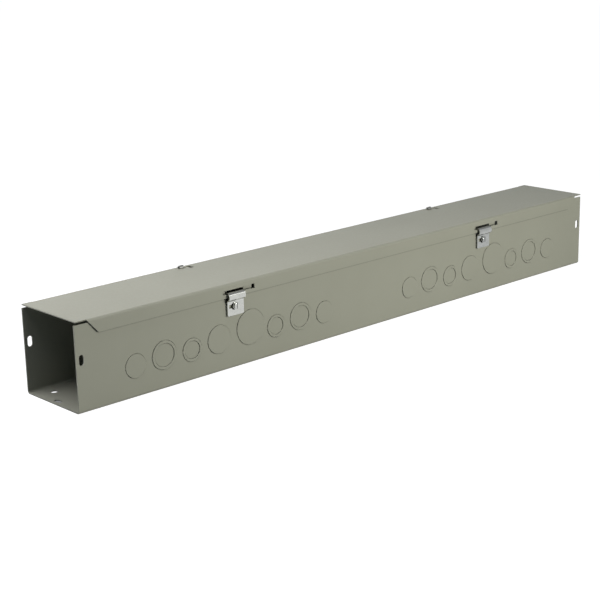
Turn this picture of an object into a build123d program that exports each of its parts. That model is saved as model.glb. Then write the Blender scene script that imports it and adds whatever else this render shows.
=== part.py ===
from build123d import *

import math
import os

# Hinged-cover wireway: a folded steel trough with a lift-up cover, held shut by two latches.
# X runs along the trough, -Y is the latch side, +Y the hinge side, and the underside is at Z = 0.

# Trough
TROUGH_LENGTH = 914.4
INSIDE_WIDTH = 101.6
INSIDE_DEPTH = 101.6
TROUGH_SHEET = 1.5
TROUGH_BEND = 2.3

# Cover
COVER_SHEET = 1.2
COVER_BEND = 1.5
COVER_RISE = 3.1
COVER_SIDE_GAP = 1.05
FLANGE_DEPTH = 17.5
COVER_END_GAP = 1.0
END_TAB_LENGTH = 15.2
END_TAB_INSET = 1.2
END_TAB_SLIT = 0.8
FLANGE_END_RUN = 15.8

# Latches and the slots that they hook into
LATCH_SPACING = 457.2
LATCH_WIDTH = 25.4
LATCH_SHEET = 1.4
LATCH_LENGTH = 40.2
LATCH_STAND_OFF = 1.7
LATCH_CORNER = 1.6
LATCH_CREASE = 1.4
HOOK_PLAY = 0.75
HOOK_SAG = 1.3
HOOK_WRAP = 200.0
FLANGE_SLOT_BELOW_TOP = 8.3
FLANGE_SLOT_HEIGHT = 4.4
FLANGE_SLOT_LEFT = 18.6
FLANGE_SLOT_RIGHT = 31.3
RELIEF_LENGTH = 5.5
RELIEF_HEIGHT = 5.1
RELIEF_SHIFT = 2.4
RELIEF_DIP = 0.5
RELIEF_DROP = 0.9
NOTCH_SIDE_GAP = 0.7
NOTCH_SPARE = 2.0
NOTCH_BELOW_HOOK = 1.2
KEYHOLE_DIAMETER = 9.4
KEYHOLE_SHIFT = 2.4
KEYHOLE_SLOT = 4.4
KEYHOLE_REACH = 10.4

# Captive latch screws
SCREW_BELOW_TOP = 28.6
SCREW_DIAMETER = 4.2
SCREW_HEAD_DIAMETER = 9.0
SCREW_HEAD_HEIGHT = 3.0
SCREW_HEAD_CHAMFER = 0.4
SCREW_REACH = 1.5
SCREW_HOLE_GAP = 0.9
DRIVER_SLOT_WIDTH = 1.3
DRIVER_SLOT_DEPTH = 1.2

# Hinge clips
CLIP_WIDTH = 25.4
CLIP_SHEET = 1.4
CLIP_GAP = 0.1
CLIP_TONGUE_WIDTH = 6.0
CLIP_TONGUE_SHIFT = 2.0
CLIP_TONGUE_RISE = 3.7
CLIP_TONGUE_SPAN = 4.05
CLIP_PLAY = 0.59
CLIP_WRAP = 190.0
HINGE_BELOW_FLANGE = 1.5
HINGE_STRIP = 4.8
HINGE_SLOT_HEIGHT = 4.4
HINGE_SLOT_SIDE_GAP = 0.8
COVER_SLOT_WIDTH = 4.2
COVER_SLOT_BACK_GAP = 0.55
COVER_SLOT_SIDE_GAP = 0.5
COVER_SLOT_SPARE = 12.5
COVER_SLOT_FOOT = 6.5

# Knockouts
KNOCKOUT_RAISE = 0.75
KNOCKOUT_BASELINE = 23.8
KNOCKOUT_PITCH = 41.3
KNOCKOUT_MIDDLE_GAP = 50.0
HALF_INCH_RADIUS = 11.1
THREE_QUARTER_RADIUS = 14.2
ONE_INCH_RADIUS = 17.45
INCH_AND_QUARTER_RADIUS = 22.1

# Joining holes at the ends
END_SLOT_LENGTH = 12.7
END_SLOT_WIDTH = 6.4
END_SLOT_INSET = 7.3
END_SLOT_HEIGHT = 62.0
FLOOR_HOLE_DIAMETER = 8.5
FLOOR_HOLE_INSET = 22.5
FLOOR_HOLE_SPREAD = 63.0

# Positions that follow from the sizes above
OUTER_WIDTH = INSIDE_WIDTH + 2 * TROUGH_SHEET
WALL_FACE = OUTER_WIDTH / 2
WALL_TOP = TROUGH_SHEET + INSIDE_DEPTH
COVER_UNDERSIDE = WALL_TOP + COVER_RISE
COVER_TOP = COVER_UNDERSIDE + COVER_SHEET
FLANGE_STANDOFF = COVER_SIDE_GAP + COVER_SHEET
COVER_WIDTH = OUTER_WIDTH + 2 * FLANGE_STANDOFF
COVER_LENGTH = TROUGH_LENGTH - 2 * COVER_END_GAP
TAB_START = COVER_LENGTH / 2 - END_TAB_LENGTH
FLANGE_BOTTOM = COVER_TOP - FLANGE_DEPTH
FLANGE_SLOT_TOP = COVER_TOP - FLANGE_SLOT_BELOW_TOP
FLANGE_SLOT_BOTTOM = FLANGE_SLOT_TOP - FLANGE_SLOT_HEIGHT
STRIP_HEIGHT = FLANGE_SLOT_BOTTOM - FLANGE_BOTTOM
HOOK_LEVEL = (FLANGE_SLOT_BOTTOM + FLANGE_BOTTOM) / 2 - HOOK_SAG
HOOK_STANDOFF = COVER_SIDE_GAP + COVER_SHEET / 2
STRIP_REACH = ((STRIP_HEIGHT / 2 + HOOK_SAG) ** 2 + (COVER_SHEET / 2) ** 2) ** 0.5
HOOK_RADIUS = STRIP_REACH + HOOK_PLAY + LATCH_SHEET / 2
LATCH_BOTTOM = COVER_TOP - LATCH_LENGTH
LATCH_FRONT = LATCH_STAND_OFF + LATCH_SHEET
SCREW_LEVEL = COVER_TOP - SCREW_BELOW_TOP
NOTCH_BOTTOM = HOOK_LEVEL - HOOK_RADIUS - LATCH_SHEET / 2 - NOTCH_BELOW_HOOK
HINGE_LEVEL = FLANGE_BOTTOM - HINGE_BELOW_FLANGE
HINGE_STANDOFF = -TROUGH_SHEET / 2
HINGE_STRIP_REACH = ((HINGE_STRIP / 2) ** 2 + (TROUGH_SHEET / 2) ** 2) ** 0.5
CLIP_CURL_RADIUS = HINGE_STRIP_REACH + CLIP_PLAY + CLIP_SHEET / 2
CLIP_LEAF = HINGE_STANDOFF - CLIP_CURL_RADIUS
STATIONS = (-LATCH_SPACING / 2, LATCH_SPACING / 2)
SIDES = (("left", STATIONS[0]), ("right", STATIONS[1]))

# Section planes: their first axis points away from the trough's wall and their second one up.
LATCH_SIDE = Plane(origin=(0, -WALL_FACE, 0), x_dir=(0, -1, 0), z_dir=(-1, 0, 0))
HINGE_SIDE = Plane(origin=(0, WALL_FACE, 0), x_dir=(0, 1, 0), z_dir=(1, 0, 0))
CROSS_SECTION = Plane.YZ


def folded(plane, path, sheet, length, station=0.0):
    """Sheet of even thickness that follows a path, drawn in the plane, over a length in X."""
    section = plane * trace(path, line_width=sheet)
    return Pos(station, 0, 0) * extrude(section, amount=length / 2, both=True)


def block(x_range, y_range, z_range):
    """Plain block between pairs of X, Y and Z values."""
    size = [high - low for low, high in (x_range, y_range, z_range)]
    middle = [(high + low) / 2 for low, high in (x_range, y_range, z_range)]
    return Pos(*middle) * Box(*size)


def wall_disc(side, radius, inner, outer, station, level):
    """Disc across one wall, from one stand-off to another, where the wall's outer face is 0."""
    start, end = side * (WALL_FACE + inner), side * (WALL_FACE + outer)
    disc = Rot(90, 0, 0) * Cylinder(radius, abs(end - start))
    return Pos(station, (start + end) / 2, level) * disc


def knockout_rows():
    """Stations and radii of the knockouts: outer radius, then the inner one or None."""
    sizes = (
        (THREE_QUARTER_RADIUS, None),
        (ONE_INCH_RADIUS, THREE_QUARTER_RADIUS),
        (THREE_QUARTER_RADIUS, HALF_INCH_RADIUS),
        (ONE_INCH_RADIUS, None),
        (INCH_AND_QUARTER_RADIUS, None),
        (THREE_QUARTER_RADIUS, HALF_INCH_RADIUS),
        (ONE_INCH_RADIUS, THREE_QUARTER_RADIUS),
        (THREE_QUARTER_RADIUS, None),
    )
    half = len(sizes) // 2
    rows = []
    for station in STATIONS:
        for index, (outer, inner) in enumerate(sizes):
            steps = index - half if index < half else index - half + 1
            nearest = KNOCKOUT_MIDDLE_GAP / 2 - KNOCKOUT_PITCH
            offset = steps * KNOCKOUT_PITCH + (nearest if steps > 0 else -nearest)
            rows.append((station + offset, outer, inner))
    return rows


def knockouts(side):
    """Knockouts of one wall: a raised disc each, or a raised ring where there is an inner one."""
    raised = []
    for station, outer, inner in knockout_rows():
        level = KNOCKOUT_BASELINE + outer
        boss = wall_disc(side, outer, -KNOCKOUT_RAISE, KNOCKOUT_RAISE, station, level)
        if inner:
            boss -= wall_disc(side, inner, 0, KNOCKOUT_RAISE, station, level)
        raised.append(boss)
    return raised


def end_slots():
    """Upright slots near both ends of the walls, and cross slots in the floor."""
    upright = Plane.XZ * SlotOverall(END_SLOT_LENGTH, END_SLOT_WIDTH, rotation=90)
    across = SlotOverall(END_SLOT_LENGTH, END_SLOT_WIDTH, rotation=90)
    cuts = []
    for end in (-1, 1):
        station = end * (TROUGH_LENGTH / 2 - END_SLOT_INSET)
        through_walls = extrude(upright, amount=OUTER_WIDTH, both=True)
        through_floor = extrude(across, amount=2 * TROUGH_SHEET, both=True)
        cuts += [Pos(station, 0, END_SLOT_HEIGHT) * through_walls, Pos(station, 0, 0) * through_floor]
    return cuts


def floor_holes():
    """Four round fixing holes in the floor."""
    hole = Cylinder(FLOOR_HOLE_DIAMETER / 2, 4 * TROUGH_SHEET)
    spacing = TROUGH_LENGTH - 2 * FLOOR_HOLE_INSET
    return [place * hole for place in GridLocations(spacing, FLOOR_HOLE_SPREAD, 2, 2)]


def latch_wall_cuts():
    """Open notch behind each latch hook, a screw hole, and the small hole past the latch."""
    wall = (-WALL_FACE - KNOCKOUT_RAISE, -WALL_FACE + 2 * TROUGH_SHEET)
    half = LATCH_WIDTH / 2 + NOTCH_SIDE_GAP
    hole_radius = SCREW_DIAMETER / 2 + SCREW_HOLE_GAP
    relief = (FLANGE_SLOT_BOTTOM - RELIEF_DIP - RELIEF_DROP, FLANGE_SLOT_BOTTOM + RELIEF_HEIGHT)
    cuts = []
    for station in STATIONS:
        end = station + FLANGE_SLOT_RIGHT + RELIEF_SHIFT
        notch = (station - half, station + half + NOTCH_SPARE)
        cuts += [
            block(notch, wall, (NOTCH_BOTTOM, WALL_TOP + TROUGH_SHEET)),
            block((end - RELIEF_LENGTH, end), wall, relief),
            wall_disc(-1, hole_radius, -2 * TROUGH_SHEET, TROUGH_SHEET, station, SCREW_LEVEL),
        ]
    return cuts


def hinge_wall_cuts():
    """Open notch above and slot below the strip of the hinge wall that each clip curls round."""
    wall = (WALL_FACE - 2 * TROUGH_SHEET, WALL_FACE + TROUGH_SHEET)
    half = CLIP_WIDTH / 2 + HINGE_SLOT_SIDE_GAP
    low = HINGE_LEVEL - HINGE_STRIP / 2
    high = HINGE_LEVEL + HINGE_STRIP / 2
    cuts = []
    for station in STATIONS:
        length = (station - half, station + half)
        cuts += [
            block(length, wall, (low - HINGE_SLOT_HEIGHT, low)),
            block(length, wall, (high, WALL_TOP + TROUGH_SHEET)),
        ]
    return cuts


def trough():
    """Channel folded from one sheet, open at the top and at both ends."""
    face = WALL_FACE - TROUGH_SHEET / 2
    level = TROUGH_SHEET / 2
    path = FilletPolyline(
        (-face, WALL_TOP), (-face, level), (face, level), (face, WALL_TOP),
        radius=TROUGH_BEND + TROUGH_SHEET / 2,
    )
    body = folded(CROSS_SECTION, path, TROUGH_SHEET, TROUGH_LENGTH)
    body += knockouts(-1) + knockouts(1)
    return body - end_slots() - floor_holes() - latch_wall_cuts() - hinge_wall_cuts()


def cover_end_cut():
    """What is cut from the cover at its +X end: all beyond the tab's root, and a sloping flange end."""
    beyond = COVER_WIDTH
    end = COVER_LENGTH / 2
    shoulder = COVER_TOP - COVER_SHEET
    run = FLANGE_END_RUN * COVER_TOP / FLANGE_DEPTH
    outline = Polyline(
        (TAB_START, COVER_TOP + COVER_SHEET), (TAB_START, shoulder),
        (TAB_START - run, shoulder - COVER_TOP), (end + COVER_SHEET, shoulder - COVER_TOP),
        (end + COVER_SHEET, COVER_TOP + COVER_SHEET), close=True,
    )
    return extrude(Plane.XZ * make_face(outline), amount=beyond, both=True)


def cover_end_tab():
    """Flat tab of the cover at its +X end, parted from the bends by a slit on each side."""
    end = COVER_LENGTH / 2
    neck = COVER_WIDTH / 2 - COVER_SHEET - COVER_BEND
    half = COVER_WIDTH / 2 - END_TAB_INSET
    height = (COVER_UNDERSIDE, COVER_TOP)
    root = block((TAB_START, end), (-neck, neck), height)
    return root + block((TAB_START + END_TAB_SLIT, end), (-half, half), height)


def cover_slots():
    """Slots with a widened right end: one in the flange at each latch, one in the top at each clip."""
    flange = (-COVER_WIDTH / 2 - COVER_SHEET, -COVER_WIDTH / 2 + 2 * COVER_SHEET)
    back = WALL_FACE + CLIP_LEAF + CLIP_SHEET / 2 + COVER_SLOT_BACK_GAP
    front = back - COVER_SLOT_WIDTH
    half = CLIP_TONGUE_WIDTH / 2
    relief = (FLANGE_SLOT_BOTTOM - RELIEF_DIP, FLANGE_SLOT_BOTTOM + RELIEF_HEIGHT)
    depth = (COVER_UNDERSIDE - COVER_SHEET, COVER_TOP + COVER_SHEET)
    cuts = []
    for station in STATIONS:
        left, right = station - FLANGE_SLOT_LEFT, station + FLANGE_SLOT_RIGHT
        tongue = station - CLIP_TONGUE_SHIFT
        top_left = tongue - half - COVER_SLOT_SIDE_GAP
        top_right = tongue + half + COVER_SLOT_SPARE
        cuts += [
            block((left, right), flange, (FLANGE_SLOT_BOTTOM, FLANGE_SLOT_TOP)),
            block((right - RELIEF_LENGTH, right), flange, relief),
            block((top_left, top_right), (front, back), depth),
            block((top_right - RELIEF_LENGTH, top_right), (front - COVER_SLOT_FOOT, back), depth),
        ]
    return cuts


def cover():
    """Shallow channel that lies over the trough, its flanges outside the walls."""
    face = COVER_WIDTH / 2 - COVER_SHEET / 2
    level = COVER_TOP - COVER_SHEET / 2
    path = FilletPolyline(
        (-face, FLANGE_BOTTOM), (-face, level), (face, level), (face, FLANGE_BOTTOM),
        radius=COVER_BEND + COVER_SHEET / 2,
    )
    body = folded(CROSS_SECTION, path, COVER_SHEET, COVER_LENGTH)
    end_cut, end_tab = cover_end_cut(), cover_end_tab()
    body -= end_cut + mirror(end_cut, about=Plane.YZ)
    body += [end_tab, mirror(end_tab, about=Plane.YZ)]
    return body - cover_slots()


def latch_path():
    """Side view of a latch: a roll round the flange strip, creased sharply into a flat plate."""
    centre = (HOOK_STANDOFF, HOOK_LEVEL)
    plate = LATCH_STAND_OFF + LATCH_SHEET / 2
    out = plate + LATCH_CREASE - HOOK_STANDOFF
    down = ((HOOK_RADIUS + LATCH_CREASE) ** 2 - out**2) ** 0.5
    crease_level = HOOK_LEVEL - down
    lean = math.degrees(math.atan2(down, out))
    hook = CenterArc(centre, HOOK_RADIUS, -lean, HOOK_WRAP + lean)
    crease = CenterArc((plate + LATCH_CREASE, crease_level), LATCH_CREASE, 180 - lean, lean)
    lower = Line((plate, crease_level), (plate, LATCH_BOTTOM))
    return Curve() + [hook, crease, lower]


def keyhole(station):
    """Cut through a latch's plate: a round hole about the screw with a narrow end to its left."""
    depth = (LATCH_STAND_OFF - LATCH_SHEET, LATCH_FRONT + LATCH_SHEET)
    wall = (-WALL_FACE - depth[1], -WALL_FACE - depth[0])
    half = KEYHOLE_SLOT / 2
    hole_station = station - KEYHOLE_SHIFT
    hole = wall_disc(-1, KEYHOLE_DIAMETER / 2, *depth, hole_station, SCREW_LEVEL)
    narrow = block(
        (station - KEYHOLE_REACH, hole_station), wall, (SCREW_LEVEL - half, SCREW_LEVEL + half)
    )
    return hole + narrow


def latch(station):
    """Stamped latch with a keyhole for its screw."""
    body = folded(LATCH_SIDE, latch_path(), LATCH_SHEET, LATCH_WIDTH, station)
    lower_edges = body.edges().filter_by(Axis.Y).group_by(Axis.Z)[0]
    return chamfer(lower_edges, LATCH_CORNER) - keyhole(station)


def latch_screw(station):
    """Slotted round-headed screw, its axis across the wall, its head on the latch."""
    tip = -TROUGH_SHEET - SCREW_REACH
    head_top = LATCH_FRONT + SCREW_HEAD_HEIGHT
    shank = wall_disc(-1, SCREW_DIAMETER / 2, tip, LATCH_FRONT, station, SCREW_LEVEL)
    head = wall_disc(-1, SCREW_HEAD_DIAMETER / 2, LATCH_FRONT, head_top, station, SCREW_LEVEL)
    head = chamfer(head.edges().group_by(Axis.Y)[0], SCREW_HEAD_CHAMFER)
    slot_floor = -WALL_FACE - head_top + DRIVER_SLOT_DEPTH
    half = DRIVER_SLOT_WIDTH / 2
    slot = block(
        (station - half, station + half), (slot_floor - SCREW_HEAD_HEIGHT, slot_floor),
        (SCREW_LEVEL - SCREW_HEAD_DIAMETER, SCREW_LEVEL + SCREW_HEAD_DIAMETER),
    )
    return shank + head - slot


def hinge_clip(station):
    """Stamped clip: a curl round the wall's strip, a leaf inside, and a tongue over the cover."""
    curl = CenterArc((HINGE_STANDOFF, HINGE_LEVEL), CLIP_CURL_RADIUS, 180, CLIP_WRAP)
    shoulder = COVER_UNDERSIDE - CLIP_GAP
    leaf = Line((CLIP_LEAF, HINGE_LEVEL), (CLIP_LEAF, shoulder))
    radius = CLIP_TONGUE_SPAN / 2
    arch_level = COVER_TOP + CLIP_TONGUE_RISE - CLIP_SHEET / 2 - radius
    tip = CLIP_LEAF - CLIP_TONGUE_SPAN
    tongue = Curve() + [
        Line((CLIP_LEAF, shoulder - CLIP_TONGUE_SPAN), (CLIP_LEAF, arch_level)),
        CenterArc((CLIP_LEAF - radius, arch_level), radius, 0, 180),
        Line((tip, arch_level), (tip, COVER_TOP + CLIP_GAP)),
    ]
    wide = folded(HINGE_SIDE, Curve() + [curl, leaf], CLIP_SHEET, CLIP_WIDTH, station)
    tongue_station = station - CLIP_TONGUE_SHIFT
    return wide + folded(HINGE_SIDE, tongue, CLIP_SHEET, CLIP_TONGUE_WIDTH, tongue_station)


def main():
    pieces = {"trough": trough(), "cover": cover()}
    for side, station in SIDES:
        pieces[f"latch_{side}"] = latch(station)
        pieces[f"latch_screw_{side}"] = latch_screw(station)
        pieces[f"hinge_clip_{side}"] = hinge_clip(station)
    os.makedirs("parts", exist_ok=True)
    for name, piece in pieces.items():
        piece.label = name
        export_step(piece, f"parts/{name}.step")


main()
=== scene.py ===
from math import acos, asin, atan2, cos, degrees, pi, radians, sin, tan

import bmesh
import bpy
import numpy as np
from mathutils import Matrix, Vector
from mathutils.geometry import delaunay_2d_cdt


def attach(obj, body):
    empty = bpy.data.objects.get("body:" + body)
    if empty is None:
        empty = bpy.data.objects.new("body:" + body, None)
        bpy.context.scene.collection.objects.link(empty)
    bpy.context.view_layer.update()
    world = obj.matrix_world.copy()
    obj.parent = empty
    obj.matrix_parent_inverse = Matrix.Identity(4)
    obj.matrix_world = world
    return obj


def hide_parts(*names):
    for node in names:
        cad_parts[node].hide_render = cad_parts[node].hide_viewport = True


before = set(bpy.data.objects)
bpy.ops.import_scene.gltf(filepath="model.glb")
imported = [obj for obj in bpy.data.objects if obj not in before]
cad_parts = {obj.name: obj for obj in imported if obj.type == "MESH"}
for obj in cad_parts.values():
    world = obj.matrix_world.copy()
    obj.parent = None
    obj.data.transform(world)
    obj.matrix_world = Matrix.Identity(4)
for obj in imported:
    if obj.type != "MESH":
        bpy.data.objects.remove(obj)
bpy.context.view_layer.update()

# Sizes are in millimetres up to the point where a mesh is made. X runs along the trough, -Y is the
# latch side, and a level is a height above the underside.
MM = 0.001
ROUND_STEPS = 72
BEND_STEPS, LEAST_BEND_STEPS = 12, 3  # to a right angle, and in the smallest bend
CORNER_STEPS = 8
SCREW_STEPS = 48
OVERRUN = 2.0  # how far an open-sided cut runs past the edge of its sheet
TOUCH = 1e-9  # developed lengths this near the start of a run belong to it

STATIONS = (-228.6, 228.6)
NAMES = ("left", "right")

# Trough
HALF_LENGTH = 457.2
TROUGH_SHEET = 1.5
WALL_FACE = 52.3
WALL_TOP = 103.1
TROUGH_BEND = 2.3
END_SLOT_INSET = 7.3
END_SLOT_LEVEL = 62.0
END_SLOT_LENGTH, END_SLOT_WIDTH = 12.7, 6.4
FLOOR_HOLE_INSET = 22.5
FLOOR_HOLE_Y = 31.5
FLOOR_HOLE_RADIUS = 4.25
SCREW_HOLE_RADIUS = 3.0
LATCH_NOTCH_PLAY = (0.7, 2.7)  # to the left and to the right of the latch
LATCH_NOTCH_FOOT = 83.9
WALL_RELIEF_RIGHT = 33.7
WALL_RELIEF_BOTTOM = 93.3
HINGE_CUT_HALF = 13.5
HINGE_SLOT = (81.6, 86.0)
HINGE_NOTCH_FOOT = 90.8

# Cover
COVER_SHEET = 1.2
COVER_TOP = 107.4
COVER_FACE = 54.55
COVER_BEND = 1.5
COVER_HALF = 456.2
FLANGE_BOTTOM = 89.9
END_TAB_START = 441.0
END_TAB_HALF = 53.35
END_TAB_NECK = 51.85
END_TAB_SLIT = 0.8
END_TAB_CORNER = 0.4
FLANGE_END_TOP = 106.2
FLANGE_END_SLOPE = 15.8 / 17.5
FLANGE_END_CORNER = 0.5
FLANGE_SLOT = (94.7, 99.1)
FLANGE_SLOT_ENDS = (-18.6, 31.3)
RELIEF_LENGTH = 5.5
RELIEF_LEVELS = (94.2, 99.8)
TOP_SLOT_ENDS = (-5.5, 13.5)
TOP_SLOT_Y = (44.8, 49.0)
TOP_SLOT_FOOT = 38.3

# Latches and their screws
LATCH_HALF = 12.7
LATCH_SHEET = 1.4
LATCH_BOTTOM = 67.2
LATCH_PLATE = 54.7
LATCH_FRONT = 55.4
LATCH_CREASE = 1.4
LATCH_HOOK_CORNER, LATCH_PLATE_CORNER = 0.6, 1.9
HOOK_CENTRE = (-53.95, 91.0)
HOOK_RADIUS = 5.198
HOOK_BEGIN = -20  # degrees
KEYHOLE_SHIFT = -2.4
KEYHOLE_RADIUS = 4.7
KEYHOLE_SLOT_HALF = 2.2
KEYHOLE_REACH = 10.4
SCREW_LEVEL = 78.8
SCREW_HEAD = 3.0
# Radius and height over the latch's face, from the middle of the head to the tip of the shank
SCREW_PROFILE = (
    (0, SCREW_HEAD), (3.3, 2.99), (3.6, 2.94), (3.8, 2.8), (3.9, 2.6), (3.95, 2.3), (3.95, 0.7),
    (4.45, 0.6), (4.5, 0.5), (4.5, 0.0), (2.1, 0.0), (2.1, -5.6), (1.6, -6.1), (0, -6.1),
)
DRIVER_SLOT_DEPTH = 1.2
DRIVER_BLOCK = (1.3, 4.0, 12.0)  # X, Y and Z size of the block that cuts the slot
SHARP_DEGREES = 35

# Hinge clips
CLIP_CENTRE = (51.55, 88.4)
CLIP_RADIUS = 3.804
CLIP_SHEET = 1.4
CLIP_HALF = LATCH_HALF
CLIP_CURL = (370, 180)  # degrees
CLIP_SHOULDER = 106.1
CLIP_ARCH_LEVEL = 108.375
CLIP_ARCH_RADIUS = 2.025
CLIP_TONGUE_TIP = 107.5
CLIP_TONGUE_HALF = 3.0
CLIP_TONGUE_SHIFT = 2.0
CLIP_CURL_CORNER, CLIP_SHOULDER_CORNER, CLIP_TONGUE_CORNER = 0.6, 1.5, 0.8

# Knockouts: the bank's lowest level, each one's place from the bank's middle, and its outer and
# inner radius for the conduit sizes 1/2, 3/4, 1 and 1-1/4 in
KNOCKOUT_BASE = 23.8
KNOCKOUT_OFFSETS = (-148.9, -107.6, -66.3, -25.0, 25.0, 66.3, 107.6, 148.9)
HALF_INCH, THREE_QUARTER, ONE_INCH, ONE_AND_QUARTER = 11.1, 14.2, 17.45, 22.1
KNOCKOUT_RADII = (
    (THREE_QUARTER, None), (ONE_INCH, THREE_QUARTER), (THREE_QUARTER, HALF_INCH), (ONE_INCH, None),
    (ONE_AND_QUARTER, None), (THREE_QUARTER, HALF_INCH), (ONE_INCH, THREE_QUARTER),
    (THREE_QUARTER, None),
)
RAISE = 0.75
EDGE_ROLL, EDGE_DROP = 0.35, 0.22
CRACK_WIDTH, CRACK_DEPTH = 0.5, 1.1
TIE_HALF = 0.9
# Distance from the circle, away from the raised side, and height over the wall
TIE_SECTION = ((-0.30, RAISE - 0.12), (0.25, RAISE - 0.20), (1.0, 0.0), (-0.30, 0.0))
OUTER_TIE_ANGLES = (180, 0)
INNER_TIE_ANGLES = (-45, 135)


# Path of a folded sheet's middle plane, drawn in Y and Z

def line_piece(start, end):
    start, end = np.array(start, float), np.array(end, float)
    length = np.linalg.norm(end - start)
    return {"kind": "line", "start": start, "way": (end - start) / length, "length": length}


def arc_piece(centre, radius, begin, finish):
    """Arc between two angles in degrees; it turns left where the second angle is larger."""
    sweep = radians(finish - begin)
    return {
        "kind": "arc", "centre": np.array(centre, float), "radius": radius,
        "begin": radians(begin), "sweep": sweep, "length": abs(sweep) * radius,
    }


def filleted(points, radius):
    """Straight runs through the points with a round bend at every inner point."""
    points = [np.array(p, float) for p in points]
    pieces, start = [], points[0]
    for before, corner, after in zip(points, points[1:], points[2:]):
        into = (corner - before) / np.linalg.norm(corner - before)
        out = (after - corner) / np.linalg.norm(after - corner)
        side = np.sign(into[0] * out[1] - into[1] * out[0])
        turn = acos(float(np.clip(into @ out, -1, 1)))
        back = radius * tan(turn / 2)
        tangent = corner - into * back
        centre = tangent + side * radius * np.array([-into[1], into[0]])
        begin = degrees(atan2(*(tangent - centre)[::-1]))
        pieces.append(line_piece(start, tangent))
        pieces.append(arc_piece(centre, radius, begin, begin + side * degrees(turn)))
        start = corner + out * back
    pieces.append(line_piece(start, points[-1]))
    return pieces


def path_length(pieces):
    return sum(piece["length"] for piece in pieces)


def along(pieces, s):
    """Point and right-hand normal of the path at each developed length in s."""
    point, normal = np.zeros((len(s), 2)), np.zeros((len(s), 2))
    begin = 0.0
    for index, piece in enumerate(pieces):
        end = begin + piece["length"]
        inside = s >= begin - TOUCH if index else np.ones(len(s), bool)
        local = s[inside] - begin
        if piece["kind"] == "line":
            way = piece["way"]
            point[inside] = piece["start"] + local[:, None] * way
            normal[inside] = (way[1], -way[0])
        else:
            left = np.sign(piece["sweep"])
            angle = piece["begin"] + left * local / piece["radius"]
            spoke = np.stack([np.cos(angle), np.sin(angle)], 1)
            point[inside] = piece["centre"] + piece["radius"] * spoke
            normal[inside] = left * spoke
        begin = end
    return point, normal


def bend_lines(pieces):
    """Developed lengths at which the bends are divided."""
    marks, begin = [], 0.0
    for piece in pieces:
        if piece["kind"] == "arc":
            share = abs(piece["sweep"]) / (pi / 2)
            steps = max(LEAST_BEND_STEPS, int(round(BEND_STEPS * share)))
            marks += [begin + piece["length"] * k / steps for k in range(steps + 1)]
        begin += piece["length"]
    return marks


# Outlines in the flat blank: X, then developed length

def circle(x, s, radius, steps=ROUND_STEPS):
    return [(x + radius * cos(2 * pi * k / steps), s + radius * sin(2 * pi * k / steps))
            for k in range(steps)]


def rectangle(x0, x1, s0, s1):
    return [(x0, s0), (x1, s0), (x1, s1), (x0, s1)]


def rounded(points, radii):
    """Closed outline with a radius at each corner, 0 for a sharp one."""
    result, count = [], len(points)
    for index, (corner, radius) in enumerate(zip(points, radii)):
        corner = Vector(corner)
        if not radius:
            result.append(tuple(corner))
            continue
        to_before = (Vector(points[index - 1]) - corner).normalized()
        to_after = (Vector(points[(index + 1) % count]) - corner).normalized()
        half = to_before.angle(to_after) / 2
        start = corner + to_before * (radius / tan(half))
        centre = corner + (to_before + to_after).normalized() * (radius / sin(half))
        first = start - centre
        last = corner + to_after * (radius / tan(half)) - centre
        turn = first.angle_signed(last)
        for k in range(CORNER_STEPS + 1):
            result.append(tuple(centre + Matrix.Rotation(-turn * k / CORNER_STEPS, 2) @ first))
    return result


def obround(x, s, length, width):
    """Slot with round ends whose length runs along the developed length."""
    half, radius, steps = (length - width) / 2, width / 2, ROUND_STEPS // 2
    points = []
    for end in (1, -1):
        for k in range(steps + 1):
            angle = pi * k / steps - pi / 2 + (0 if end > 0 else pi)
            away, across = end * half + radius * cos(angle), radius * sin(angle)
            points.append((x - across, s + away))
    return points


def inside_outline(points, outline):
    """Which of the points lie inside the closed outline."""
    px, py = points[:, 0], points[:, 1]
    result = np.zeros(len(points), bool)
    ring = np.array(outline)
    near = ((px >= ring[:, 0].min()) & (px <= ring[:, 0].max())
            & (py >= ring[:, 1].min()) & (py <= ring[:, 1].max()))
    qx, qy = px[near], py[near]
    hit = np.zeros(len(qx), bool)
    for (x0, y0), (x1, y1) in zip(ring, np.roll(ring, -1, 0)):
        if y0 == y1:
            continue
        crosses = (y0 > qy) != (y1 > qy)
        hit ^= crosses & (qx < x0 + (qy - y0) * (x1 - x0) / (y1 - y0))
    result[near] = hit
    return result


# A folded sheet with real thickness

WHOLE_HULL = 0  # output of the triangulation: triangles over the hull of all points
LINE_MARGIN = 3.0  # how far the lines of the bends run past the blank
MERGE_DISTANCE = 1e-5
ZONE_MARGIN, ZONE_NUDGE = 0.1, 1e-4
SMOOTH_COSINE = 0.985  # above it a broad face takes the normal of the sheet itself


def relief_height(zone, relief, distance):
    """Stand-off of a point of a knockout zone at a distance from the knockout's middle."""
    if zone == "crack":
        return -CRACK_DEPTH
    if zone == "level":
        return 0.0
    outer, inner = relief["outer"], relief["inner"]
    height = RAISE - EDGE_DROP * max(0.0, 1 - max(0.0, outer - distance) / EDGE_ROLL)
    if inner:
        height -= EDGE_DROP * max(0.0, 1 - max(0.0, distance - inner) / EDGE_ROLL)
    return height


def relief_rings(relief):
    """Radii of the circles that divide a knockout."""
    outer, inner = relief["outer"], relief["inner"]
    rings = [outer + CRACK_WIDTH, outer, outer - EDGE_ROLL]
    if inner:
        rings += [inner + EDGE_ROLL, inner, inner - CRACK_WIDTH]
    return rings


def zone_of(relief, distance):
    """Zone of a knockout at a distance from its middle: level, crack or raised."""
    outer, inner = relief["outer"], relief["inner"]
    if distance > outer + CRACK_WIDTH:
        return "level"
    if distance > outer:
        return "crack"
    if inner and distance < inner - CRACK_WIDTH:
        return "level"
    if inner and distance < inner:
        return "crack"
    return "raised"


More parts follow.
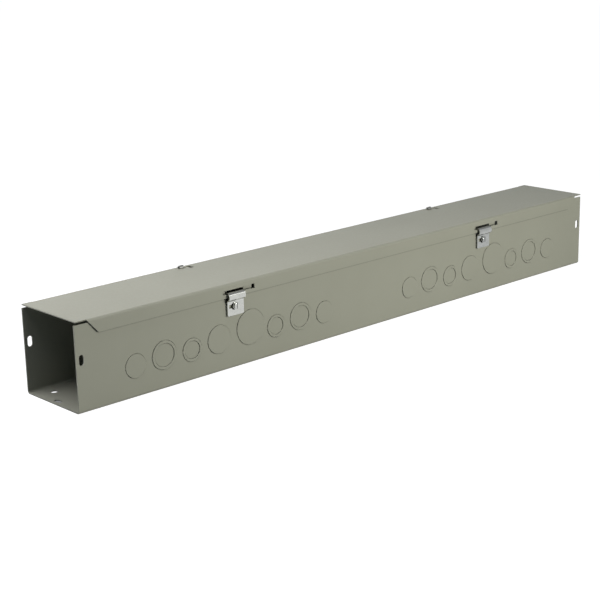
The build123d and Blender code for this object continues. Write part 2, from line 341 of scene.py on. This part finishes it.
def sheet(name, pieces, thickness, outline, cuts=(), reliefs=(), flat_tab=None):
    """Object of a folded sheet whose flat blank has the outline, the cuts and the reliefs.

    A flat tab, given by its first X and its level, stays unfolded at both ends of the sheet.
    """
    verts, edges = [], []

    def add_ring(points):
        first = len(verts)
        verts.extend(Vector(p) for p in points)
        edges.extend((first + k, first + (k + 1) % len(points)) for k in range(len(points)))

    add_ring(outline)
    for cut in cuts:
        add_ring(cut)
    for relief in reliefs:
        for radius in relief_rings(relief):
            add_ring(circle(relief["x"], relief["s"], radius))
    x_values = [p[0] for p in outline]
    for mark in bend_lines(pieces):
        first = len(verts)
        verts += [Vector((min(x_values) - LINE_MARGIN, mark)),
                  Vector((max(x_values) + LINE_MARGIN, mark))]
        edges.append((first, first + 1))
    flat, _, faces, *_ = delaunay_2d_cdt(verts, edges, [], WHOLE_HULL, MERGE_DISTANCE)
    flat = np.array([(v.x, v.y) for v in flat])
    faces = np.array(faces)
    middle = flat[faces].mean(1)
    keep = inside_outline(middle, outline)
    for cut in cuts:
        keep &= ~inside_outline(middle, cut)
    faces, middle = faces[keep], middle[keep]

    zone = [("level", None)] * len(faces)
    for number, relief in enumerate(reliefs):
        gap = np.hypot(middle[:, 0] - relief["x"], middle[:, 1] - relief["s"])
        for k in np.nonzero(gap < relief["outer"] + CRACK_WIDTH + ZONE_MARGIN)[0]:
            kind = zone_of(relief, gap[k] + ZONE_NUDGE)
            zone[k] = (kind, None if kind == "level" else number)

    point, normal = along(pieces, flat[:, 1])
    if flat_tab:
        start, level = flat_tab
        tab = np.abs(flat[:, 0]) > start
        point[tab, 0] = path_length(pieces) / 2 - flat[tab, 1]
        point[tab, 1] = level
        normal[tab] = (0, 1)
    mesh_verts, index, loops, flat_normals = [], {}, [], []

    def corner(vertex, where, side):
        key = (vertex, where, side)
        if key not in index:
            kind, number = where
            height = side * thickness / 2
            if number is not None:
                relief = reliefs[number]
                gap = float(np.hypot(flat[vertex, 0] - relief["x"], flat[vertex, 1] - relief["s"]))
                move = relief_height(kind, relief, gap)
                height += move if side > 0 or kind == "raised" else 0.0
            y, z = point[vertex] + height * normal[vertex]
            index[key] = len(mesh_verts)
            mesh_verts.append((flat[vertex, 0] * MM, y * MM, z * MM))
        return index[key]

    users = {}
    for number, face in enumerate(faces):
        a, b, c = (int(v) for v in face)
        where = zone[number]
        for side, order in ((1, (a, b, c)), (-1, (c, b, a))):
            loops.append([corner(v, where, side) for v in order])
            flat_normals.append([(0.0, *(side * normal[v])) for v in order])
        for start, end in ((a, b), (b, c), (c, a)):
            users.setdefault((min(start, end), max(start, end)), []).append((number, start, end))
    for owners in users.values():
        number, start, end = owners[0]
        where = zone[number]
        if len(owners) == 1:
            loops.append([corner(start, where, 1), corner(start, where, -1),
                          corner(end, where, -1), corner(end, where, 1)])
            flat_normals.append(None)
        elif zone[owners[1][0]] != where:
            other = zone[owners[1][0]]
            for side in (1, -1):
                quad = [corner(start, where, side), corner(start, other, side),
                        corner(end, other, side), corner(end, where, side)]
                quad = list(dict.fromkeys(quad))
                if len(quad) > 2:
                    loops.append(quad if side > 0 else quad[::-1])
                    flat_normals.append(None)
    return mesh_object(name, mesh_verts, loops, flat_normals)


def mesh_object(name, verts, loops, normals):
    """Object from vertices and faces, with the sheet's own normals on its broad faces."""
    mesh = bpy.data.meshes.new(name)
    mesh.from_pydata(verts, [], loops)
    mesh.update()
    corner_normals = []
    for polygon, wanted in zip(mesh.polygons, normals):
        own = polygon.normal
        for k in range(polygon.loop_total):
            smooth = Vector(wanted[k]) if wanted else own
            corner_normals.append(smooth if own.dot(smooth) > SMOOTH_COSINE else own)
    mesh.polygons.foreach_set("use_smooth", [True] * len(mesh.polygons))
    mesh.normals_split_custom_set(corner_normals)
    return placed(name, mesh)


def placed(name, data):
    """New object with the data, linked into the scene."""
    made = bpy.data.objects.new(name, data)
    bpy.context.collection.objects.link(made)
    return made


def object_from(bm, name):
    """New object with the mesh of a bmesh, which is freed."""
    mesh = bpy.data.meshes.new(name)
    bm.to_mesh(mesh)
    bm.free()
    return placed(name, mesh)


# Materials

# Parts of a factor's range over which a ramp goes from its first colour to its second
FULL_SPAN = (0.0, 1.0)
NOISE_SPAN = (0.3, 0.7)
GLOSS_SPAN = (0.25, 0.75)
CREVICE_SPAN = (0.45, 0.95)
# Two tones of the enamel, and its least and greatest roughness
ENAMEL_TONES = ((0.270, 0.270, 0.216), (0.286, 0.286, 0.230))
ENAMEL_ROUGHNESS = (0.50, 0.58)
ENAMEL_SPECULAR = 0.28
# Crevice below the cover's flange: reach, middle level and half height of its band, and its shade
CREVICE_REACH = 3.0
CREVICE_LEVEL, CREVICE_BAND = FLANGE_BOTTOM + 1.8, 5.2
CREVICE_SHADE = 0.16
CREVICE_SAMPLES = 16
# Painted shade on the cover's outside bends, where the light from above and the light from the front
# both fall off: beyond this Y and above this level
BEND_SHADE_Y, BEND_SHADE_LEVEL = 52.77, 105.51
PAINTED_BEND_SHADE = 0.86
GRAIN_STRETCH = (40.0, 900.0, 900.0)
# What the ground gives back to the object, and what is seen of it beside the trough and in a strip under
# it, where a shadow is painted
GROUND_BOUNCE = (0.17, 0.18, 0.19)
GROUND_SHADOW, GROUND_SHADOW_PAINTED_UNDER = 0.25, 0.10
GROUND_GLOW, GROUND_GLOW_PAINTED_UNDER = 1.0, 0.18
# How the glow grows with the distance from the origin, in metres
GROUND_FADE = {"From Min": 0.7, "From Max": 1.6, "To Min": 0.92, "To Max": 1.0}
UNDER_HALF_WIDTH = 20.0
# Sockets of a mix node that mixes colours
MIX_FIRST, MIX_SECOND, MIX_RESULT = 6, 7, 2


def socket(node, name, value):
    """Sets an input of a node, or joins it to the output of another node."""
    if isinstance(value, bpy.types.NodeSocket):
        node.id_data.links.new(value, node.inputs[name])
    else:
        node.inputs[name].default_value = value


def add(nodes, kind, **values):
    """New node with the named inputs set or joined."""
    node = nodes.new(kind)
    for name, value in values.items():
        socket(node, name, value)
    return node


def grey(value):
    return (value, value, value)


def new_material(name):
    """New material, its nodes and its shader."""
    material = bpy.data.materials.new(name)
    material.use_nodes = True
    nodes = material.node_tree.nodes
    return material, nodes, nodes["Principled BSDF"]


def own_place(nodes):
    """Coordinates of the piece itself, which move with it."""
    return nodes.new("ShaderNodeTexCoord").outputs["Object"]


def maths(nodes, operation, *values):
    node = nodes.new("ShaderNodeMath")
    node.operation = operation
    for number, value in enumerate(values):
        socket(node, number, value)
    return node.outputs[0]


def noise(nodes, place, scale, detail):
    return add(nodes, "ShaderNodeTexNoise", Vector=place, Scale=scale, Detail=detail).outputs["Fac"]


def ramp(nodes, factor, span, first, second):
    """Colour that goes from the first to the second while the factor crosses the span."""
    node = add(nodes, "ShaderNodeValToRGB", Fac=factor)
    for stop, position, colour in zip(node.color_ramp.elements, span, (first, second)):
        stop.position = position
        stop.color = (*colour, 1)
    return node.outputs["Color"]


def bump(nodes, height, strength, distance, **over):
    """Normal bent by the height, over another normal if one is given as Normal."""
    node = add(nodes, "ShaderNodeBump", Height=height, Strength=strength, Distance=distance, **over)
    return node.outputs["Normal"]


def darkened(nodes, mask, colour, shade):
    """The colour, multiplied by the shade where the mask is 1."""
    mix = nodes.new("ShaderNodeMix")
    mix.data_type, mix.blend_type = "RGBA", "MULTIPLY"
    for name, value in (("Factor", mask), (MIX_FIRST, colour), (MIX_SECOND, shade)):
        socket(mix, name, value)
    return mix.outputs[MIX_RESULT]


def mixed(nodes, factor, first, second):
    """The first shader where the factor is 0 and the second where it is 1."""
    node = nodes.new("ShaderNodeMixShader")
    for number, value in enumerate((factor, first, second)):
        socket(node, number, value)
    return node.outputs[0]


def shaded_crevice(nodes, place, colour):
    """The colour, darker in the crevice below the lower edge of the cover's flange."""
    occlusion = add(nodes, "ShaderNodeAmbientOcclusion", Distance=CREVICE_REACH * MM)
    occlusion.samples = CREVICE_SAMPLES
    level = add(nodes, "ShaderNodeSeparateXYZ", Vector=place).outputs["Z"]
    near = maths(nodes, "COMPARE", level, CREVICE_LEVEL * MM, CREVICE_BAND * MM)
    shade = ramp(nodes, occlusion.outputs["AO"], CREVICE_SPAN, grey(CREVICE_SHADE), grey(1.0))
    return darkened(nodes, near, colour, shade)


def painted_shade_on_bends(nodes, place, colour):
    """The colour, with painted shade over the cover's outside bends."""
    parts = add(nodes, "ShaderNodeSeparateXYZ", Vector=place).outputs
    outside = maths(nodes, "GREATER_THAN", maths(nodes, "ABSOLUTE", parts["Y"]), BEND_SHADE_Y * MM)
    high = maths(nodes, "GREATER_THAN", parts["Z"], BEND_SHADE_LEVEL * MM)
    both = maths(nodes, "MULTIPLY", outside, high)
    return darkened(nodes, both, colour, (*grey(PAINTED_BEND_SHADE), 1))


def enamel_material():
    """Baked grey enamel: a fine orange-peel skin over sheet that is not quite flat."""
    material, nodes, shader = new_material("grey_enamel")
    place = own_place(nodes)
    tone = ramp(nodes, noise(nodes, place, scale=9.0, detail=3.0), NOISE_SPAN, *ENAMEL_TONES)
    shaded = shaded_crevice(nodes, place, tone)
    socket(shader, "Base Color", painted_shade_on_bends(nodes, place, shaded))
    gloss = noise(nodes, place, scale=260.0, detail=2.0)
    socket(shader, "Roughness", ramp(nodes, gloss, GLOSS_SPAN, *map(grey, ENAMEL_ROUGHNESS)))
    socket(shader, "Specular IOR Level", ENAMEL_SPECULAR)
    waves = noise(nodes, place, scale=14.0, detail=1.0)
    peel = noise(nodes, place, scale=700.0, detail=2.0)
    wavy = bump(nodes, waves, strength=0.25, distance=0.0006)
    socket(shader, "Normal", bump(nodes, peel, strength=0.18, distance=0.0001, Normal=wavy))
    return material


def zinc_material(name, dark, light, roughness):
    """Zinc plate with a faint cloudiness and the grain of the strip."""
    material, nodes, shader = new_material(name)
    place = own_place(nodes)
    socket(shader, "Metallic", 1.0)
    cloud = noise(nodes, place, scale=160.0, detail=3.0)
    socket(shader, "Base Color", ramp(nodes, cloud, NOISE_SPAN, dark, light))
    stretched = add(nodes, "ShaderNodeMapping", Vector=place, Scale=GRAIN_STRETCH).outputs["Vector"]
    grain = noise(nodes, stretched, scale=1.0, detail=2.0)
    socket(shader, "Roughness", ramp(nodes, grain, NOISE_SPAN, *map(grey, roughness)))
    socket(shader, "Normal", bump(nodes, grain, strength=0.12, distance=0.0001))
    return material


def pale_ground(name):
    """Ground that the camera and reflections see as white, with a faint shadow round the object and a
    painted shadow in a strip under the trough.
    """
    material, nodes, shader = new_material(name)
    nodes.remove(shader)
    bounce = add(nodes, "ShaderNodeBsdfDiffuse", Color=(*GROUND_BOUNCE, 1)).outputs[0]
    place = own_place(nodes)
    # Painted shadow: under the trough the ground's diffuse colour and glow are lowered
    painted_shadow = painted_shadow_strip(nodes, place)
    shadow = ramp(nodes, painted_shadow, FULL_SPAN, grey(GROUND_SHADOW), grey(GROUND_SHADOW_PAINTED_UNDER))
    glow = ramp(nodes, painted_shadow, FULL_SPAN, grey(GROUND_GLOW), grey(GROUND_GLOW_PAINTED_UNDER))
    distance = nodes.new("ShaderNodeVectorMath")
    distance.operation = "LENGTH"
    socket(distance, 0, place)
    fade = add(nodes, "ShaderNodeMapRange", Value=distance.outputs["Value"], **GROUND_FADE)
    seen = nodes.new("ShaderNodeAddShader")
    socket(seen, 0, add(nodes, "ShaderNodeBsdfDiffuse", Color=shadow).outputs[0])
    socket(seen, 1, add(nodes, "ShaderNodeEmission", Color=glow,
                        Strength=fade.outputs["Result"]).outputs[0])
    surface = mixed(nodes, seen_directly(nodes), bounce, seen.outputs[0])
    socket(nodes["Material Output"], "Surface", surface)
    return material


def painted_shadow_strip(nodes, place):
    """Mask of the painted shadow: 1 in a strip along the middle of the trough's underside, 0 round it.
    """
    parts = add(nodes, "ShaderNodeSeparateXYZ", Vector=place).outputs
    inside = (maths(nodes, "LESS_THAN", maths(nodes, "ABSOLUTE", parts[axis]), half * MM)
              for axis, half in (("X", HALF_LENGTH), ("Y", UNDER_HALF_WIDTH)))
    return maths(nodes, "MULTIPLY", *inside)


def seen_directly(nodes):
    """1 for camera, glossy and transmission rays."""
    rays = nodes.new("ShaderNodeLightPath").outputs
    either = maths(nodes, "MAXIMUM", rays["Is Camera Ray"], rays["Is Glossy Ray"])
    return maths(nodes, "MAXIMUM", either, rays["Is Transmission Ray"])


ENAMEL = enamel_material()
ZINC = zinc_material("bright_zinc", (0.42, 0.43, 0.405), (0.49, 0.495, 0.47), (0.12, 0.20))
# Darker copy of the bright zinc for the right latch and its screw: painted shade for the weaker light at
# that end
ZINC_IN_PAINTED_SHADE = zinc_material("zinc_in_painted_shade", (0.32, 0.33, 0.32), (0.38, 0.39, 0.38), (0.16, 0.24))
DULL_ZINC = zinc_material("dull_zinc", (0.24, 0.245, 0.23), (0.30, 0.30, 0.285), (0.24, 0.34))


def dress(piece, material, body, slot_name, *nodes):
    """Gives a piece its material and its body, and hides the CAD nodes that it stands for; the slot name
    is not used.
    """
    piece.data.materials.append(material)
    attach(piece, body)
    if nodes:
        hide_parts(*nodes)


# Trough

def knockouts():
    """Place from the bank's middle, outer radius and inner radius of each knockout of a bank."""
    return [(offset, *radii) for offset, radii in zip(KNOCKOUT_OFFSETS, KNOCKOUT_RADII)]


def make_trough():
    """Channel with its slots, holes, latch notches, hinge strips and four banks of knockouts."""
    face, level = WALL_FACE - TROUGH_SHEET / 2, TROUGH_SHEET / 2
    pieces = filleted([(-face, WALL_TOP), (-face, level), (face, level), (face, WALL_TOP)],
                      TROUGH_BEND + TROUGH_SHEET / 2)
    total = path_length(pieces)
    outline = rectangle(-HALF_LENGTH, HALF_LENGTH, 0, total)

    def front(z):
        return WALL_TOP - z

    def back(z):
        return total - (WALL_TOP - z)

    cuts, reliefs = [], []
    for end in (-1, 1):
        slot_x, hole_x = (end * (HALF_LENGTH - inset) for inset in (END_SLOT_INSET, FLOOR_HOLE_INSET))
        cuts += [obround(slot_x, s, END_SLOT_LENGTH, END_SLOT_WIDTH)
                 for s in (front(END_SLOT_LEVEL), back(END_SLOT_LEVEL), total / 2)]
        cuts += [circle(hole_x, total / 2 + side * FLOOR_HOLE_Y, FLOOR_HOLE_RADIUS)
                 for side in (-1, 1)]
    for station in STATIONS:
        notch_left = station - (LATCH_HALF + LATCH_NOTCH_PLAY[0])
        notch_right = station + LATCH_HALF + LATCH_NOTCH_PLAY[1]
        relief_right = station + WALL_RELIEF_RIGHT
        relief_left = relief_right - RELIEF_LENGTH
        hinge_left, hinge_right = station - HINGE_CUT_HALF, station + HINGE_CUT_HALF
        cuts += [
            rectangle(notch_left, notch_right, -OVERRUN, front(LATCH_NOTCH_FOOT)),
            rectangle(relief_left, relief_right, front(RELIEF_LEVELS[1]), front(WALL_RELIEF_BOTTOM)),
            circle(station, front(SCREW_LEVEL), SCREW_HOLE_RADIUS),
            rectangle(hinge_left, hinge_right, back(HINGE_SLOT[0]), back(HINGE_SLOT[1])),
            rectangle(hinge_left, hinge_right, back(HINGE_NOTCH_FOOT), total + OVERRUN),
        ]
        for offset, outer, inner in knockouts():
            for side in (front, back):
                reliefs.append({"x": station + offset, "s": side(KNOCKOUT_BASE + outer),
                                "outer": outer, "inner": inner})
    piece = sheet("trough_sheet", pieces, TROUGH_SHEET, outline, cuts, reliefs)
    dress(piece, ENAMEL, "trough", "enamel", "trough")


def make_ties():
    """Small uncut ties that hold each knockout, two on its outer circle and two on its inner one."""
    bm = bmesh.new()

    def tie(x, z, radius, degree, side, inward):
        angle = radians(degree)
        spoke = Vector((cos(angle), 0, sin(angle)))
        across = Vector((-sin(angle), 0, cos(angle))) * TIE_HALF
        centre = Vector((x, side * WALL_FACE, z)) + spoke * radius
        out = Vector((0, side, 0))
        way = -spoke if inward else spoke
        rings = [[bm.verts.new((centre + way * away + out * height + across * edge) * MM)
                  for away, height in TIE_SECTION] for edge in (-1, 1)]
        for k in range(len(TIE_SECTION)):
            after = (k + 1) % len(TIE_SECTION)
            bm.faces.new([rings[0][k], rings[0][after], rings[1][after], rings[1][k]])
        bm.faces.new(rings[0][::-1])
        bm.faces.new(rings[1])

    for station in STATIONS:
        for offset, outer, inner in knockouts():
            for side in (-1, 1):
                x, z = station + offset, KNOCKOUT_BASE + outer
                for degree in OUTER_TIE_ANGLES:
                    tie(x, z, outer, degree, side, False)
                for degree in INNER_TIE_ANGLES if inner else ():
                    tie(x, z, inner, degree, side, True)
    bmesh.ops.recalc_face_normals(bm, faces=bm.faces)
    dress(object_from(bm, "knockout_ties"), ENAMEL, "trough", "enamel")


# Cover

def make_cover():
    """Shallow channel with flanges outside the trough's walls and a flat tab at each end."""
    face, level = COVER_FACE - COVER_SHEET / 2, COVER_TOP - COVER_SHEET / 2
    mean_radius = COVER_BEND + COVER_SHEET / 2
    pieces = filleted([(face, FLANGE_BOTTOM), (face, level), (-face, level), (-face, FLANGE_BOTTOM)],
                      mean_radius)
    total = path_length(pieces)
    middle = total / 2
    tab = END_TAB_START
    flange_end = tab - FLANGE_END_SLOPE * (FLANGE_END_TOP - FLANGE_BOTTOM)
    bend_level = COVER_TOP - COVER_SHEET - COVER_BEND
    shoulder = bend_level - FLANGE_BOTTOM
    shoulder += mean_radius * asin((FLANGE_END_TOP - bend_level) / mean_radius)

    def corner_run(end, side):
        """Points of the blank's outline at one end and on one side, from the middle out."""
        return [
            (end * COVER_HALF, middle + side * END_TAB_HALF),
            (end * (tab + END_TAB_SLIT), middle + side * END_TAB_HALF),
            (end * (tab + END_TAB_SLIT), middle + side * END_TAB_NECK),
            (end * tab, middle + side * END_TAB_NECK),
            (end * tab, middle + side * (middle - shoulder)),
            (end * flange_end, middle + side * middle),
        ]

    outline = (corner_run(1, -1)[::-1] + corner_run(1, 1)
               + corner_run(-1, 1)[::-1] + corner_run(-1, -1))
    radii = [FLANGE_END_CORNER, 0, 0, 0, 0, END_TAB_CORNER]
    outline = rounded(outline, (radii + radii[::-1]) * 2)

    def front(z):
        return total - (z - FLANGE_BOTTOM)

    low, high, relief_low, relief_high = (front(z) for z in (*FLANGE_SLOT, *RELIEF_LEVELS))
    near, far, step = (middle - y for y in (*TOP_SLOT_Y, TOP_SLOT_FOOT))
    cuts = []
    for station in STATIONS:
        left, right = (station + x for x in FLANGE_SLOT_ENDS)
        foot = right - RELIEF_LENGTH
        cuts.append([(left, low), (foot, low), (foot, relief_low), (right, relief_low),
                     (right, relief_high), (foot, relief_high), (foot, high), (left, high)])
        left, right = (station + x for x in TOP_SLOT_ENDS)
        foot = right - RELIEF_LENGTH
        cuts.append([(left, far), (right, far), (right, step), (foot, step), (foot, near), (left, near)])
    piece = sheet("cover_sheet", pieces, COVER_SHEET, outline, cuts,
                  flat_tab=(tab + END_TAB_SLIT / 2, level))
    dress(piece, ENAMEL, "cover", "enamel", "cover")


# Latches, screws and hinge clips

def make_latch(name, station, plating):
    """Latch: a hook round the strip of the flange, a crease, and a plate with a keyhole."""
    crease_y = -LATCH_PLATE - LATCH_CREASE
    out = HOOK_CENTRE[0] - crease_y
    lean = degrees(acos(out / (HOOK_RADIUS + LATCH_CREASE)))
    crease_level = HOOK_CENTRE[1] - out * tan(radians(lean))
    pieces = [
        arc_piece(HOOK_CENTRE, HOOK_RADIUS, HOOK_BEGIN, 180 + lean),
        arc_piece((crease_y, crease_level), LATCH_CREASE, lean, 0),
        line_piece((-LATCH_PLATE, crease_level), (-LATCH_PLATE, LATCH_BOTTOM)),
    ]
    total = path_length(pieces)
    outline = rounded(rectangle(station - LATCH_HALF, station + LATCH_HALF, 0, total),
                      [LATCH_HOOK_CORNER] * 2 + [LATCH_PLATE_CORNER] * 2)
    hole_x, hole_s = station + KEYHOLE_SHIFT, total - (SCREW_LEVEL - LATCH_BOTTOM)
    mouth = pi - asin(KEYHOLE_SLOT_HALF / KEYHOLE_RADIUS)
    keyhole = [(hole_x + KEYHOLE_RADIUS * cos(a), hole_s + KEYHOLE_RADIUS * sin(a))
               for a in (-mouth + 2 * mouth * k / ROUND_STEPS for k in range(ROUND_STEPS + 1))]
    keyhole += [(station - KEYHOLE_REACH, hole_s + side * KEYHOLE_SLOT_HALF) for side in (1, -1)]
    piece = sheet(f"latch_{name}_stamping", pieces, LATCH_SHEET, outline, [keyhole])
    dress(piece, plating, f"latch_{name}", "zinc", f"latch_{name}")


def make_clip(name, station):
    """Hinge clip: a curl round the strip of the wall, a leaf, and a tongue that arches over."""
    curl = arc_piece(CLIP_CENTRE, CLIP_RADIUS, *CLIP_CURL)
    leaf = CLIP_CENTRE[0] - CLIP_RADIUS
    arch = (leaf - CLIP_ARCH_RADIUS, CLIP_ARCH_LEVEL)
    tip = arch[0] - CLIP_ARCH_RADIUS
    pieces = [
        curl, line_piece((leaf, CLIP_CENTRE[1]), (leaf, CLIP_ARCH_LEVEL)),
        arc_piece(arch, CLIP_ARCH_RADIUS, 0, 180),
        line_piece((tip, CLIP_ARCH_LEVEL), (tip, CLIP_TONGUE_TIP)),
    ]
    total = path_length(pieces)
    shoulder = curl["length"] + CLIP_SHOULDER - CLIP_CENTRE[1]
    left, right = station - CLIP_HALF, station + CLIP_HALF
    tongue_left, tongue_right = (station - CLIP_TONGUE_SHIFT + side * CLIP_TONGUE_HALF
                                 for side in (-1, 1))
    outline = rounded(
        [(left, 0), (right, 0), (right, shoulder), (tongue_right, shoulder),
         (tongue_right, total), (tongue_left, total), (tongue_left, shoulder), (left, shoulder)],
        [CLIP_CURL_CORNER, CLIP_CURL_CORNER, CLIP_SHOULDER_CORNER, 0,
         CLIP_TONGUE_CORNER, CLIP_TONGUE_CORNER, 0, CLIP_SHOULDER_CORNER])
    piece = sheet(f"hinge_clip_{name}_stamping", pieces, CLIP_SHEET, outline)
    dress(piece, DULL_ZINC, "cover", "zinc", f"hinge_clip_{name}")


def make_screw(name, station, plating):
    """Pan head with a driver slot and a plain shank, turned about an axis along Y."""
    bm = bmesh.new()
    rings = []
    for radius, height in SCREW_PROFILE:
        ring = circle(0, 0, radius, SCREW_STEPS) if radius else [(0, 0)]
        rings.append([bm.verts.new((x * MM, -height * MM, z * MM)) for x, z in ring])
    for first, second in zip(rings, rings[1:]):
        for k in range(SCREW_STEPS):
            quad = [first[k % len(first)], first[(k + 1) % len(first)],
                    second[(k + 1) % len(second)], second[k % len(second)]]
            bm.faces.new(list(dict.fromkeys(quad)))
    bmesh.ops.recalc_face_normals(bm, faces=bm.faces)
    piece = object_from(bm, f"latch_screw_{name}_turned")
    block_height = SCREW_HEAD - DRIVER_SLOT_DEPTH + DRIVER_BLOCK[1] / 2
    bpy.ops.mesh.primitive_cube_add(size=1, location=(0, -block_height * MM, 0))
    slot_block = bpy.context.object
    slot_block.scale = [size * MM for size in DRIVER_BLOCK]
    bpy.context.view_layer.update()
    cut = piece.modifiers.new("driver slot", "BOOLEAN")
    cut.operation, cut.solver, cut.object = "DIFFERENCE", "EXACT", slot_block
    apply_modifiers(piece)
    bpy.data.objects.remove(slot_block)
    piece.data.transform(Matrix.Translation(Vector((station, -LATCH_FRONT, SCREW_LEVEL)) * MM))
    piece.data.polygons.foreach_set("use_smooth", [True] * len(piece.data.polygons))
    piece.data.set_sharp_from_angle(angle=radians(SHARP_DEGREES))
    dress(piece, plating, f"latch_{name}", "zinc", f"latch_screw_{name}")


def apply_modifiers(piece):
    """Puts what the modifiers make of a piece in place of its mesh."""
    depsgraph = bpy.context.evaluated_depsgraph_get()
    mesh = bpy.data.meshes.new_from_object(piece.evaluated_get(depsgraph))
    piece.modifiers.clear()
    piece.data = mesh


make_trough()
make_ties()
make_cover()
for latch_side, latch_station, finish in zip(NAMES, STATIONS, (ZINC, ZINC_IN_PAINTED_SHADE)):
    make_latch(latch_side, latch_station, finish)
    make_clip(latch_side, latch_station)
    make_screw(latch_side, latch_station, finish)


# Camera: its place in metres, sensor and lens in millimetres, roll in degrees

SENSOR, LENS, CLIP_END = 36.0, 85.83, 100.0
CAMERA_PLACE = (-1.28646, -1.31730, 0.55015)
CAMERA_WAY = (0.65183, 0.70759, -0.27282)
CAMERA_ROLL = -1.28


def looking(place, way):
    """Matrix of a camera or lamp at a place that looks along a way."""
    return Matrix.Translation(place) @ Vector(way).to_track_quat("-Z", "Y").to_matrix().to_4x4()


def make_camera():
    data = bpy.data.cameras.new("camera")
    data.sensor_width, data.lens, data.clip_end = SENSOR, LENS, CLIP_END
    camera = placed("camera", data)
    roll = Matrix.Rotation(radians(CAMERA_ROLL), 4, "Z")
    camera.matrix_world = looking(CAMERA_PLACE, CAMERA_WAY) @ roll
    bpy.context.scene.camera = camera


# Ground, world and lamps, in metres and watts

GROUND_HALF = 40.0
AMBIENT_COLOUR, AMBIENT_STRENGTH = (0.25, 0.95, 1.3), 0.04
# Heights in the world between which its grey, as the camera sees it, goes from white to dull
SKY_SPAN = (0.46, 0.60)
SKY_WHITE, SKY_DULL = 1.0, 0.40
# Name, place, target, size, power and colour of each lamp
LAMPS = (
    ("key", (-0.68, 0.22, 1.04), (-0.62, 0.03, 0.1), (1.2, 1.2), 16.9, (1.0, 0.985, 1.05)),
    ("fill", (0.19, -1.3, 0.5), (0.12, 0.0, 0.05), (0.5, 0.6), 17.0, (1.0, 0.99, 0.94)),
    ("rear", (-0.75, 1.6, 0.25), (0.0, 0.0, 0.06), (0.8, 0.3), 10.0, (1, 1, 1)),
    ("glint", (0.75, -0.89, 0.88), (-0.2, -0.06, 0.1), (0.25, 0.25), 0.4, (1, 1, 1)),
)


def make_ground():
    bm = bmesh.new()
    bm.faces.new([bm.verts.new((x * GROUND_HALF, y * GROUND_HALF, 0))
                  for x, y in ((-1, -1), (1, -1), (1, 1), (-1, 1))])
    ground = object_from(bm, "ground")
    ground.data.materials.append(pale_ground("pale_ground"))


def make_world():
    """Dim blue-green light for the object, and a white that only the camera and reflections see."""
    world = bpy.data.worlds.new("studio")
    bpy.context.scene.world = world
    world.use_nodes = True
    nodes = world.node_tree.nodes
    nodes.clear()
    direction = nodes.new("ShaderNodeTexCoord").outputs["Generated"]
    height = add(nodes, "ShaderNodeSeparateXYZ", Vector=direction).outputs["Z"]
    sky = ramp(nodes, height, SKY_SPAN, grey(SKY_WHITE), grey(SKY_DULL))
    ambient, white = (add(nodes, "ShaderNodeBackground", Color=colour, Strength=strength).outputs[0]
                      for colour, strength in (((*AMBIENT_COLOUR, 1), AMBIENT_STRENGTH), (sky, 1.0)))
    output = nodes.new("ShaderNodeOutputWorld")
    socket(output, "Surface", mixed(nodes, seen_directly(nodes), ambient, white))


def make_lamp(name, place, target, size, power, colour):
    """Rectangular lamp that looks at its target."""
    data = bpy.data.lights.new(name, "AREA")
    data.shape = "RECTANGLE"
    data.size, data.size_y = size
    data.energy = power
    data.color = colour
    placed(name, data).matrix_world = looking(place, Vector(target) - Vector(place))


make_camera()
make_ground()
make_world()
for lamp in LAMPS:
    make_lamp(*lamp)

bpy.context.scene.view_settings.view_transform = "Standard"
